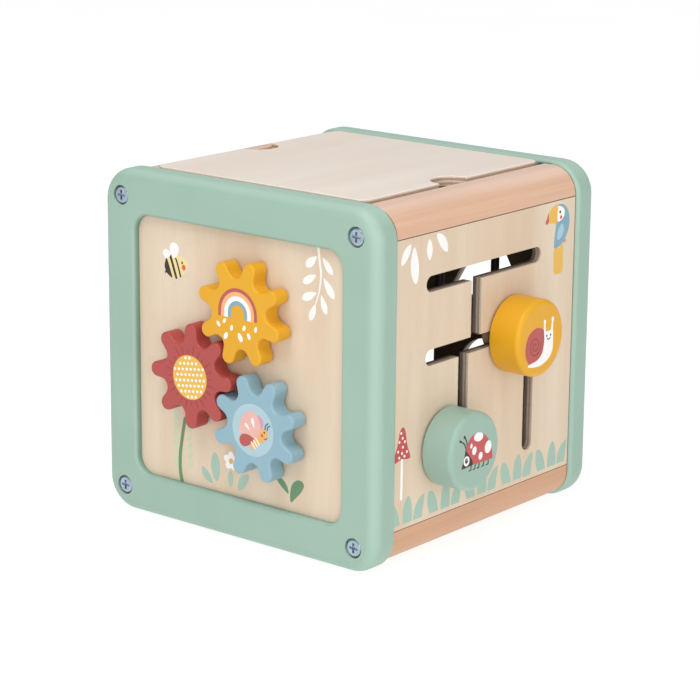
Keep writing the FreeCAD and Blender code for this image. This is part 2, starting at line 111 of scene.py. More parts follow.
class Shader:
    """A material's node tree, built in code."""

    def __init__(self, name, colour):
        self.material = bpy.data.materials.new(name)
        self.material.use_nodes = True
        self.material.diffuse_color = colour
        self.tree = self.material.node_tree
        self.surface = self.tree.nodes["Principled BSDF"]
        self.surface.inputs["Base Color"].default_value = colour
        self.place = self.tree.nodes.new("ShaderNodeTexCoord").outputs["Object"]
        self.facing = self.place.node.outputs["Normal"]

    def put(self, target, value):
        if isinstance(value, bpy.types.NodeSocket):
            self.tree.links.new(value, target)
        else:
            target.default_value = value

    def node(self, kind, inputs, output=0, **settings):
        made = self.tree.nodes.new(kind)
        for key, value in settings.items():
            setattr(made, key, value)
        for key, value in inputs.items():
            self.put(made.inputs[key], value)
        return made.outputs[output]

    def math(self, operation, first, second=0.0):
        return self.node("ShaderNodeMath", {0: first, 1: second}, operation=operation)

    def vector(self, operation, first, second, output=0):
        return self.node("ShaderNodeVectorMath", {0: first, 1: second}, output, operation=operation)

    def level(self, axis):
        """How far along an axis the shaded point lies, in metres."""
        return self.vector("DOT_PRODUCT", self.place, tuple(axis), 1)

    def lean(self, axis):
        """How much the surface faces along an axis, from -1 to 1."""
        return self.vector("DOT_PRODUCT", self.facing, tuple(axis), 1)

    def product(self, *values):
        total = values[0]
        for value in values[1:]:
            total = self.math("MULTIPLY", total, value)
        return total

    def noise(self, scale, detail=2.0, roughness=0.5, offset=(0, 0, 0)):
        """Noise stretched by a scale for each axis, in features a metre."""
        moved = self.vector("ADD", self.place, offset)
        stretched = self.vector("MULTIPLY", moved, scale)
        return self.node(
            "ShaderNodeTexNoise",
            {"Vector": stretched, "Scale": 1.0, "Detail": detail, "Roughness": roughness},
        )

    def remap(self, value, low, high, to_low=0.0, to_high=1.0, smooth=False):
        kind = "SMOOTHSTEP" if smooth else "LINEAR"
        inputs = {0: value, 1: low, 2: high, 3: to_low, 4: to_high}
        return self.node("ShaderNodeMapRange", inputs, interpolation_type=kind)

    def blend(self, share, first, second, kind="MIX"):
        return self.node(
            "ShaderNodeMix", {0: share, 6: first, 7: second}, 2, data_type="RGBA", blend_type=kind
        )

    def set(self, **values):
        for key, value in values.items():
            self.put(self.surface.inputs[key.replace("_", " ")], value)

    def bump(self, height, distance, strength=1.0):
        normal = self.node(
            "ShaderNodeBump", {"Height": height, "Distance": distance, "Strength": strength}
        )
        self.put(self.surface.inputs["Normal"], normal)


def shade(colour, factor):
    return (colour[0] * factor, colour[1] * factor, colour[2] * factor, 1.0)


def along(axis, lengthways, across):
    """Scale vector with one value along an axis and another across it."""
    return tuple(lengthways if abs(part) > 0.5 else across for part in axis)


def edge_mask(shader, radius):
    """Near 1 on crisp edges, from how far a rounded normal leans away from the true one."""
    rounded = shader.node("ShaderNodeBevel", {"Radius": radius}, samples=4)
    true_normal = shader.node("ShaderNodeNewGeometry", {}, "Normal")
    together = shader.vector("DOT_PRODUCT", rounded, true_normal, 1)
    return shader.remap(together, 0.985, 0.86, 0.0, 1.0, smooth=True)


# Painted shade on the frames' paint: how far in front of the panel it begins on the window's wall,
# and where it lies behind the lid, outwards from the middle and down from the frame's top
WALL_SHADE = 5.0 * MM
CORNER_IN = 69.0 * MM
CORNER_OUT = 81.0 * MM
CORNER_SOFT = 3.0 * MM
CORNER_FLOOR = 6.0 * MM
CORNER_FULL = (4.5 * MM, 2.6 * MM)
CORNER_CEILING = 1.0 * MM


def window_wall_shade(shader, colour):
    """The colour with painted shade deepening down the window's inner wall to the panel."""
    away = shader.vector("SUBTRACT", shader.place, tuple(CENTRE))
    outward = shader.vector("MULTIPLY", away, (1, 0, 1))
    leaning = shader.vector("DOT_PRODUCT", shader.facing, outward, 1)
    is_wall = shader.remap(leaning, -0.02, -0.06, smooth=True)
    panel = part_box("front_panel")[0].y
    shade_share = shader.remap(shader.level(Y_AXIS), panel - WALL_SHADE, panel, 0.0, 0.75)
    return shader.blend(shader.product(is_wall, shade_share), colour, WALL_SHADE_MINT)


def shadowed_gap(shader, colour):
    """The colour with painted shade in the two small gaps behind the lid's rear corners."""
    across = shader.math("ABSOLUTE", shader.math("SUBTRACT", shader.level(X_AXIS), CENTRE.x))
    past_lid = shader.remap(across, CORNER_IN, CORNER_IN + CORNER_SOFT)
    before_edge = shader.remap(across, CORNER_OUT - MM, CORNER_OUT, 1.0, 0.0)
    below_top = shader.math("SUBTRACT", REAR_FRAME[1].z, shader.level(Z_AXIS))
    above = shader.remap(below_top, CORNER_FLOOR, CORNER_FULL[0])
    below = shader.remap(below_top, CORNER_FULL[1], CORNER_CEILING, 0.92, 0.0)
    is_front = shader.remap(shader.lean(-Y_AXIS), 0.2, 0.4)
    share = shader.product(past_lid, before_edge, above, below, is_front)
    return shader.blend(share, colour, GAP_SHADE)


def painted_highlights(shader, colour, pale):
    """The colour with painted highlights on top and along the rounded upright edges."""
    lit_top = shader.blend(shader.remap(shader.lean(Z_AXIS), 0.5, 1.0, 0.0, 0.85), colour, pale)
    corner = shader.math("ABSOLUTE", shader.product(shader.lean(X_AXIS), shader.lean(Y_AXIS)))
    return shader.blend(shader.remap(corner, 0.12, 0.5, 0.0, 0.4), lit_top, pale)


def painted(name, colour, roughness=0.46, grain_axis=None, window=False, lid_gap=False):
    """Satin paint: faint clouding, fine orange peel, rubbed edges and a little wood grain.

    The frames' paint has painted highlights on top and on the rounded upright edges; the front
    frame's has painted shade down its window, the rear frame's painted shade behind the lid.
    """
    shader = Shader(name, colour)
    cloud = shader.noise((22, 22, 22), 3.0)
    speck = shader.noise((1400, 1400, 1400), 1.0)
    peel = shader.noise((620, 620, 620), 2.0)
    mottled = shader.blend(
        shader.remap(cloud, 0.3, 0.7), shade(colour, 0.965), shade(colour, 1.025)
    )
    speckled = shader.blend(
        shader.remap(speck, 0.66, 0.8, 0.0, 0.10), mottled, shade(colour, 0.72)
    )
    height = peel
    if grain_axis is not None:
        fibre = shader.noise(along(grain_axis, 40, 1100), 3.0, 0.6)
        height = shader.math("ADD", peel, shader.product(fibre, 0.8))
        speckled = shader.blend(
            shader.remap(fibre, 0.56, 0.78, 0.0, 0.10), speckled, shade(colour, 0.78)
        )
    rub = shader.noise((180, 180, 180), 3.0, 0.65, (0.3, 0.1, 0.2))
    worn = shader.product(edge_mask(shader, 1.1 * MM), shader.remap(rub, 0.42, 0.62))
    pale = tuple(min(1.0, channel * 1.18 + 0.045) for channel in colour[:3]) + (1.0,)
    final = shader.blend(shader.product(worn, 0.55), speckled, pale)
    # Painted highlights and painted shade on the frames' paint
    if window or lid_gap:
        final = painted_highlights(shader, final, pale)
    if window:
        final = window_wall_shade(shader, final)
    if lid_gap:
        final = shadowed_gap(shader, final)
    sheen = shader.remap(cloud, 0.3, 0.7, roughness - 0.04, roughness + 0.05)
    sheen = shader.math("SUBTRACT", sheen, shader.product(worn, 0.08))
    shader.set(Base_Color=final, Roughness=sheen, Specular_IOR_Level=0.42)
    shader.bump(height, 0.06 * MM, 0.55)
    return shader.material


def grain_offset(seed):
    """Where in the noise a piece of wood is cut from, so that no two pieces match."""
    return (seed * 0.37, seed * 0.21, seed * 0.13)


def wood_figure(shader, grain_axis, seed):
    """Growth figure, broad tone and fine fibre of flat-cut wood, each from 0 to 1."""
    offset = grain_offset(seed)
    wander = shader.noise(along(grain_axis, 5, 22), 2.0, 0.5, offset)
    push = shader.product(wander, 3.6)
    across = shader.noise(along(grain_axis, 1.6, 18), 1.0, 0.4, offset)
    phase = shader.product(shader.math("ADD", push, across), 5.0)
    rings = shader.math("ABSOLUTE", shader.math("SINE", shader.product(phase, math.pi)))
    tone = shader.noise(along(grain_axis, 4, 34), 3.0, 0.55, offset)
    fibre = shader.noise(along(grain_axis, 36, 1500), 3.0, 0.6, offset)
    return rings, tone, fibre


PLY_LIGHT = linear(227, 210, 188)
PLY_DARK = linear(215, 192, 166)
PLY_FACE = linear(217, 200, 178)
LID_LIGHT = linear(240, 230, 220)
LID_DARK = linear(235, 221, 209)
PLY_EDGE_LIGHT = linear(216, 200, 184)
PLY_EDGE_DARK = linear(176, 154, 136)
PLY_GLUE = linear(140, 116, 98)
# Painted shade: on plywood's inner faces, on its cut edges towards the inside, and in the seams
INSIDE_SHADE = linear(96, 80, 66)
DEEP_SHADE = linear(52, 40, 30)
SEAM_SHADE = linear(66, 34, 22)
PLY_COUNT = 5

# The gap between a side panel and a rail, and how far the painted shade line reaches on each side
# of it
SEAM_GAP = 0.2 * MM
SEAM_LINE = 0.3 * MM


def wood_face(shader, grain_axis, seed, light, dark):
    """Colour and height of a sanded, lacquered plywood face."""
    rings, tone, fibre = wood_figure(shader, grain_axis, seed)
    base = shader.blend(shader.remap(tone, 0.3, 0.7), dark, light)
    ringed = shader.blend(shader.remap(rings, 0.0, 0.3, 0.14, 0.0), base, dark)
    pores = shader.noise(along(grain_axis, 90, 2200), 1.0, 0.5, (0.5, seed, 0.1))
    spotted = shader.blend(shader.remap(pores, 0.64, 0.74, 0.0, 0.22), ringed, shade(dark, 0.72))
    face = shader.blend(shader.remap(fibre, 0.35, 0.7, 0.14, 0.0), spotted, shade(dark, 0.92))
    return face, fibre


def seam_lines(shader, colour, seams):
    """The colour with a fine dark line of painted shade at each level along an axis where two
    pieces meet.
    """
    for axis, level, strength in seams:
        away = shader.math("ABSOLUTE", shader.math("SUBTRACT", shader.level(axis), level))
        line = shader.remap(away, SEAM_LINE * 0.6, SEAM_LINE, strength, 0.0)
        colour = shader.blend(line, colour, SEAM_SHADE)
    return colour


def plywood(
    name,
    node,
    thickness_axis,
    grain_axis,
    seed,
    light=PLY_LIGHT,
    dark=PLY_DARK,
    seams=(),
    inset=True,
):
    """Plywood: long grain on its faces, plies on its cut edges, painted shade on its inner face.

    The cut edges of an inset panel have painted shade towards the inside of the cube.
    """
    shader = Shader(name, PLY_FACE)
    low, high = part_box(node)
    start = low.dot(thickness_axis)
    depth = high.dot(thickness_axis) - start
    is_far = start + depth / 2 > CENTRE.dot(thickness_axis)
    face, fibre = wood_face(shader, grain_axis, seed, light, dark)
    wobble = shader.noise((90, 90, 90), 2.0, 0.5, (seed, 0, 0))
    level = shader.math("SUBTRACT", shader.level(thickness_axis), start)
    level = shader.product(level, PLY_COUNT / depth)
    level = shader.math("ADD", level, shader.remap(wobble, 0.3, 0.7, -0.10, 0.10))
    inside = shader.math("FRACT", level)
    ply_number = shader.math("FLOOR", level)
    is_odd = shader.math("MODULO", ply_number, 2.0)
    end_grain = shader.noise((900, 900, 900), 2.0, 0.6)
    streak = shader.noise(along(thickness_axis, 60, 700), 3.0, 0.6)
    pale = shader.blend(
        shader.remap(streak, 0.3, 0.7), shade(PLY_EDGE_LIGHT, 0.90), shade(PLY_EDGE_LIGHT, 1.06)
    )
    deep = shader.blend(
        shader.remap(end_grain, 0.3, 0.7), shade(PLY_EDGE_DARK, 0.86), shade(PLY_EDGE_DARK, 1.10)
    )
    layers = shader.blend(is_odd, pale, deep)
    glue = shader.remap(shader.math("PINGPONG", inside, 0.5), 0.02, 0.09, 0.6, 0.0)
    layers = shader.blend(glue, layers, PLY_GLUE)
    # Painted shade on the cut edges, deepening towards the inside of the cube
    if inset:
        inner_side = 0.0 if is_far else PLY_COUNT
        outward = shader.math("ABSOLUTE", shader.math("SUBTRACT", level, inner_side))
        shade_share = shader.remap(outward, 0.0, 0.75 * PLY_COUNT, 0.9, 0.0)
        layers = shader.blend(shade_share, layers, DEEP_SHADE)
    lean = shader.lean(thickness_axis)
    is_edge = shader.remap(shader.math("ABSOLUTE", lean), 0.45, 0.65, 1.0, 0.0)
    crisp = shader.product(edge_mask(shader, 0.6 * MM), 0.22)
    rimmed = shader.blend(crisp, face, shade(dark, 0.84))
    rimmed = seam_lines(shader, rimmed, seams)
    # Painted shade on the face towards the inside of the cube
    is_inner = shader.remap(shader.product(lean, -1.0 if is_far else 1.0), 0.5, 0.7)
    inner_shaded = shader.blend(is_inner, rimmed, shader.blend(0.75, rimmed, INSIDE_SHADE))
    final = shader.blend(is_edge, inner_shaded, layers)
    rough = shader.blend(is_edge, (0.58, 0.58, 0.58, 1), (0.75, 0.75, 0.75, 1))
    shader.set(Base_Color=final, Roughness=rough, Specular_IOR_Level=0.22)
    height = shader.blend(is_edge, fibre, shader.math("ADD", fibre, glue))
    shader.bump(height, 0.06 * MM, 0.45)
    return shader.material


# Tints multiplied into beech: painted shade on its sides, painted light on its tops
SIDE_SHADE_TINT = (0.95, 0.885, 0.81, 1.0)
TOP_LIGHT_TINT = (1.08, 1.14, 1.22, 1.0)


def beech(name, grain_axis, seed, light=(236, 203, 176), dark=(224, 184, 156), seams=()):
    """Steamed beech: pinkish, with soft streaks along the grain, painted light on its tops and
    painted shade on its sides.
    """
    light_colour, dark_colour = linear(*light), linear(*dark)
    shader = Shader(name, linear(*[(a + b) // 2 for a, b in zip(light, dark)]))
    offset = grain_offset(seed)
    tone = shader.noise(along(grain_axis, 3, 70), 3.0, 0.55, offset)
    streak = shader.noise(along(grain_axis, 9, 420), 3.0, 0.6, offset)
    fibre = shader.noise(along(grain_axis, 36, 1500), 3.0, 0.6, offset)
    base = shader.blend(shader.remap(tone, 0.28, 0.72), dark_colour, light_colour)
    streaked = shader.blend(
        shader.remap(streak, 0.42, 0.72, 0.0, 0.32), base, shade(dark_colour, 0.86)
    )
    flecks = shader.noise(along(grain_axis, 130, 2300), 1.0, 0.5, (0, seed, 0.4))
    flecked = shader.blend(
        shader.remap(flecks, 0.62, 0.74, 0.0, 0.16), streaked, shade(dark_colour, 0.66)
    )
    # Painted light on upward faces and painted shade on the sides
    upward = shader.remap(shader.lean(Z_AXIS), 0.6, 1.0, smooth=True)
    grain = shader.blend(upward, SIDE_SHADE_TINT, TOP_LIGHT_TINT)
    lit_and_shaded = shader.blend(1.0, flecked, grain, "MULTIPLY")
    crisp = shader.product(edge_mask(shader, 0.6 * MM), 0.22)
    rimmed = shader.blend(crisp, lit_and_shaded, shade(dark_colour, 0.82))
    shader.set(
        Base_Color=seam_lines(shader, rimmed, seams),
        Roughness=shader.remap(fibre, 0.3, 0.7, 0.42, 0.52),
        Specular_IOR_Level=0.4,
    )
    shader.bump(fibre, 0.06 * MM, 0.4)
    return shader.material


def steel(name):
    """Zinc-plated steel, with fine turning marks and a faint blue cast."""
    colour = linear(176, 190, 204)
    shader = Shader(name, colour)
    marks = shader.noise((700, 2600, 700), 3.0, 0.6)
    cloud = shader.noise((160, 160, 160), 2.0)
    tone = shader.blend(shader.remap(cloud, 0.3, 0.7), shade(colour, 0.82), shade(colour, 1.08))
    shader.set(
        Base_Color=tone, Metallic=1.0, Roughness=shader.remap(marks, 0.3, 0.7, 0.26, 0.42)
    )
    shader.bump(marks, 0.03 * MM, 0.5)
    return shader.material


def nylon(name):
    """Natural moulded nylon: milky, faintly mottled."""
    colour = linear(236, 232, 220)
    shader = Shader(name, colour)
    cloud = shader.noise((260, 260, 260), 3.0)
    tone = shader.blend(shader.remap(cloud, 0.3, 0.7), shade(colour, 0.93), colour)
    shader.set(
        Base_Color=tone,
        Roughness=shader.remap(cloud, 0.3, 0.7, 0.40, 0.52),
        Subsurface_Weight=0.15,
        Subsurface_Scale=1.5 * MM,
    )
    shader.bump(cloud, 0.04 * MM, 0.4)
    return shader.material


def coated_wire(name):
    """Dark powder coat: a fine pebbled skin."""
    colour = linear(52, 46, 42)
    shader = Shader(name, colour)
    pebble = shader.noise((1500, 1500, 1500), 2.0, 0.6)
    tone = shader.blend(shader.remap(pebble, 0.3, 0.7), shade(colour, 0.8), shade(colour, 1.3))
    shader.set(Base_Color=tone, Roughness=shader.remap(pebble, 0.3, 0.7, 0.36, 0.5))
    shader.bump(pebble, 0.08 * MM, 0.6)
    return shader.material


def ink(name, colour, grain=0.10, seed=1.0):
    """Screen-print ink: nearly flat, with the wood's fibre and tiny skips showing through."""
    shader = Shader(name, colour)
    fibre = shader.noise(along(Z_AXIS, 36, 1500), 3.0, 0.6, grain_offset(seed))
    skips = shader.noise((1900, 1900, 1900), 1.0, 0.5, (0.2, 0.4, seed))
    cloud = shader.noise((120, 120, 120), 2.0)
    tone = shader.blend(shader.remap(cloud, 0.3, 0.7), shade(colour, 0.97), shade(colour, 1.02))
    fibred = shader.blend(shader.remap(fibre, 0.55, 0.75, 0.0, grain), tone, shade(PLY_FACE, 0.86))
    final = shader.blend(shader.remap(skips, 0.70, 0.78, 0.0, grain * 1.4), fibred, PLY_FACE)
    shader.set(
        Base_Color=final,
        Roughness=shader.remap(cloud, 0.3, 0.7, 0.46, 0.56),
        Specular_IOR_Level=0.38,
    )
    shader.bump(fibre, 0.05 * MM, 0.4)
    return shader.material


INKS = {
    "cream": ink("ink_cream", CREAM, grain=0.05),
    "dark": ink("ink_dark", DARK, grain=0.03),
    "yellow": ink("ink_yellow", SUN),
    "red": ink("ink_red", linear(193, 84, 84)),
    "maroon": ink("ink_maroon", MAROON),
    "deep_red": ink("ink_deep_red", DEEP_RED),
    "peach": ink("ink_peach", PEACH),
    "pink": ink("ink_pink", PINK),
    "lilac": ink("ink_lilac", LILAC),
    "orange": ink("ink_orange", ORANGE),
    "bee_yellow": ink("ink_bee_yellow", BEE_YELLOW),
    "cheek": ink("ink_cheek", CHEEK),
    "wing_blue": ink("ink_wing_blue", WING_BLUE),
    "sky": ink("ink_sky", SKY),
    "pale_blue": ink("ink_pale_blue", PALE_BLUE),
    "green": ink("ink_green", STEM_GREEN),
    "pale_green": ink("ink_pale_green", PALE_GREEN),
    "mint": ink("ink_mint", linear(161, 190, 174)),
}

PAINTS = {
    "mint_paint": painted("mint_wood_paint", MINT, 0.42, Z_AXIS),
    "yellow_paint": painted("yellow_paint", YELLOW, 0.42, Z_AXIS),
    "red_paint": painted("red_paint", RED, 0.44, Z_AXIS),
    "blue_paint": painted("blue_paint", BLUE, 0.44, Z_AXIS),
    "steel": steel("zinc_steel"),
    "nylon": nylon("natural_nylon"),
    "wire_coat": coated_wire("dark_wire_coat"),
}


def assign(node, material):
    shown = frame["nodes"][node]
    for slot in shown.material_slots:
        slot.material = material


# Beech for the rails; the bottom rails' darker, warmer copy is painted shade
TOP_RAIL_BEECH = {"light": (228, 196, 173), "dark": (218, 178, 153)}
BOTTOM_RAIL_SHADED_BEECH = {"light": (217, 177, 149), "dark": (204, 160, 128)}


def dress_nodes():
    """Gives every CAD node the finish of its record slot, with its own grain where it is wood."""
    slots = {part["node"]: part["material_slot"] for part in frame["record"]["subparts"]}
    panel_low, panel_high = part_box("right_panel")
    side_seams = (
        (Z_AXIS, panel_high.z + SEAM_GAP / 2, 1.0),
        (Z_AXIS, panel_low.z - SEAM_GAP / 2, 0.6),
        (Y_AXIS, REAR_FRAME[0].y - SEAM_LINE, 0.9),
        (Y_AXIS, FRONT_FRAME[1].y + SEAM_LINE, 0.9),
    )
    seed = 1.0
    for node in sorted(slots):
        slot = slots[node]
        seed += 0.73
        if node == "lid_board":
            material = plywood(
                "ply_" + node, node, Z_AXIS, Y_AXIS, seed, LID_LIGHT, LID_DARK, inset=False
            )
        elif node == "bottom_panel":
            material = plywood("ply_" + node, node, Z_AXIS, Y_AXIS, seed)
        elif node in ("front_panel", "rear_panel"):
            material = plywood("ply_" + node, node, Y_AXIS, Z_AXIS, seed)
        elif node in ("right_panel", "left_panel"):
            material = plywood("ply_" + node, node, X_AXIS, Z_AXIS, seed, seams=side_seams)
        elif node.startswith("rail_top"):
            material = beech("beech_" + node, Y_AXIS, seed, **TOP_RAIL_BEECH, seams=side_seams)
        elif node.startswith("rail_bottom"):
            material = beech("beech_" + node, Y_AXIS, seed, **BOTTOM_RAIL_SHADED_BEECH, seams=side_seams)
        elif slot == "beech":
            grain = Z_AXIS if node.endswith("retainer") else Y_AXIS
            material = beech("beech_" + node, grain, seed)
        elif node == "front_frame":
            material = painted("mint_window_paint", MINT, window=True)
        elif node == "rear_frame":
            material = painted("mint_lid_side_paint", MINT, lid_gap=True)
        else:
            material = PAINTS[slot]
        assign(node, material)


# ---------------------------------------------------------------- printed pictures


class Sheet:
    """A flat face to print on: a point on it, and its right and up directions."""

    def __init__(self, node, right, up, body, slot):
        self.right = right
        self.up = up
        self.out = right.cross(up)
        low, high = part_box(node)
        reach = max(low.dot(self.out), high.dot(self.out))
        self.origin = CENTRE + self.out * (reach - CENTRE.dot(self.out))
        self.body = body
        self.slot = slot

    def point(self, place, height):
        u, v = place
        return self.origin + (self.right * u + self.up * v + self.out * height) * MM


def signed_area(outline):
    total = 0.0
    for (x0, y0), (x1, y1) in zip(outline, outline[1:] + outline[:1]):
        total += x0 * y1 - x1 * y0
    return total / 2


def printed(sheet, name, outlines, colour, level=1):
    """One piece of ink: each outline is a thin closed slab standing on the sheet."""
    vertices = []
    faces = []
    for index, outline in enumerate(outlines):
        ring = outline if signed_area(outline) > 0 else outline[::-1]
        count = len(ring)
        first = len(vertices)
        top = INK * level + INK_STAGGER * (index % INK_STEPS)
        vertices += [sheet.point(place, -INK_SINK) for place in ring]
        vertices += [sheet.point(place, top) for place in ring]
        flat = [Vector((u, v, 0)) for u, v in ring]
        for triangle in tessellate_polygon([flat]):
            a, b, c = triangle
            (ax, ay), (bx, by), (cx, cy) = ring[a], ring[b], ring[c]
            if (bx - ax) * (cy - ay) - (by - ay) * (cx - ax) < 0:
                b, c = c, b
            faces.append((first + a, first + c, first + b))
            faces.append((first + count + a, first + count + b, first + count + c))
        for i in range(count):
            j = (i + 1) % count
            faces.append((first + i, first + j, first + count + j, first + count + i))
    mesh = bpy.data.meshes.new(name)
    mesh.from_pydata(vertices, [], faces)
    mesh.materials.append(INKS[colour])
    mesh.update()
    piece = bpy.data.objects.new(name, mesh)
    bpy.context.scene.collection.objects.link(piece)
    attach(piece, sheet.body)


def turned(point, degrees, about=(0, 0)):
    angle = math.radians(degrees)
    dx, dy = point[0] - about[0], point[1] - about[1]
    return (
        about[0] + dx * math.cos(angle) - dy * math.sin(angle),
        about[1] + dx * math.sin(angle) + dy * math.cos(angle),
    )


def ellipse(centre, rx, ry=None, turn=0.0, count=40):
    ry = rx if ry is None else ry
    points = []
    for i in range(count):
        angle = 2 * math.pi * i / count
        local = turned((rx * math.cos(angle), ry * math.sin(angle)), turn)
        points.append((centre[0] + local[0], centre[1] + local[1]))
    return points


def curve(points, closed=False, steps=8):
    """Smooth run through the points (Catmull-Rom)."""
    count = len(points)
    spans = count if closed else count - 1
    out = []
    for i in range(spans):
        if closed:
            p0, p1, p2, p3 = (points[(i + k) % count] for k in (-1, 0, 1, 2))
        else:
            p0, p1 = points[max(i - 1, 0)], points[i]
            p2, p3 = points[i + 1], points[min(i + 2, count - 1)]
        for step in range(steps):
            t = step / steps
            out.append(
                tuple(
                    0.5
                    * (
                        2 * p1[k]
                        + (p2[k] - p0[k]) * t
                        + (2 * p0[k] - 5 * p1[k] + 4 * p2[k] - p3[k]) * t * t
                        + (3 * p1[k] - p0[k] - 3 * p2[k] + p3[k]) * t ** 3
                    )
                    for k in (0, 1)
                )
            )
    if not closed:
        out.append(tuple(points[-1]))
    return out


def blob(*points):
    return curve(list(points), closed=True)


def leaf(base, tip, width, fullest=0.5, bend=0.0, blunt=0.75, count=16):
    """Pointed leaf from its base to its tip; bend bows it sideways by a share of its length."""
    dx, dy = tip[0] - base[0], tip[1] - base[1]
    length = math.hypot(dx, dy)
    ux, uy = dx / length, dy / length
    power = math.log(0.5) / math.log(fullest)
    left, right = [], []
    for i in range(count + 1):
        t = i / count
        half = width / 2 * math.sin(math.pi * t**power) ** blunt if 0 < t < 1 else 0.0
        bow = bend * length * math.sin(math.pi * t)
        x, y = base[0] + dx * t - uy * bow, base[1] + dy * t + ux * bow
        left.append((x - uy * half, y + ux * half))
        if 0 < t < 1:
            right.append((x + uy * half, y - ux * half))
    return left + right[::-1]


def stroke(points, start_width, end_width=None, steps=6):
    """Brush line through the points, with round ends."""
    end_width = start_width if end_width is None else end_width
    line = curve(points, steps=steps)
    total = len(line) - 1
    left, right = [], []
    for i, (x, y) in enumerate(line):
        x0, y0 = line[max(i - 1, 0)]
        x1, y1 = line[min(i + 1, total)]
        length = math.hypot(x1 - x0, y1 - y0)
        nx, ny = -(y1 - y0) / length, (x1 - x0) / length
        half = (start_width + (end_width - start_width) * i / total) / 2
        left.append((x + nx * half, y + ny * half))
        right.append((x - nx * half, y - ny * half))

    def cap(centre, edge, count=6):
        return [turned(edge, -180 * k / count, centre) for k in range(1, count)]

    end_cap = cap(line[-1], left[-1])
    start_cap = cap(line[0], right[0])
    return left + end_cap + right[::-1] + start_cap


def arch(centre, outer, inner, foot, count=28):
    """Rainbow band: half a ring with straight legs down to one level."""
    top = [math.pi * i / count for i in range(count + 1)]
    outside = [(centre[0] + outer * math.cos(a), centre[1] + outer * math.sin(a)) for a in top]
    inside = [(centre[0] + inner * math.cos(a), centre[1] + inner * math.sin(a)) for a in top]
    legs_out = [(centre[0] + outer, foot)] + outside + [(centre[0] - outer, foot)]
    legs_in = [(centre[0] - inner, foot)] + inside[::-1] + [(centre[0] + inner, foot)]
    return legs_out + legs_in


def clipped(outline, low, high):
    """The outline with its first coordinate held between two limits."""
    return [(min(max(x, low), high), y) for x, y in outline]


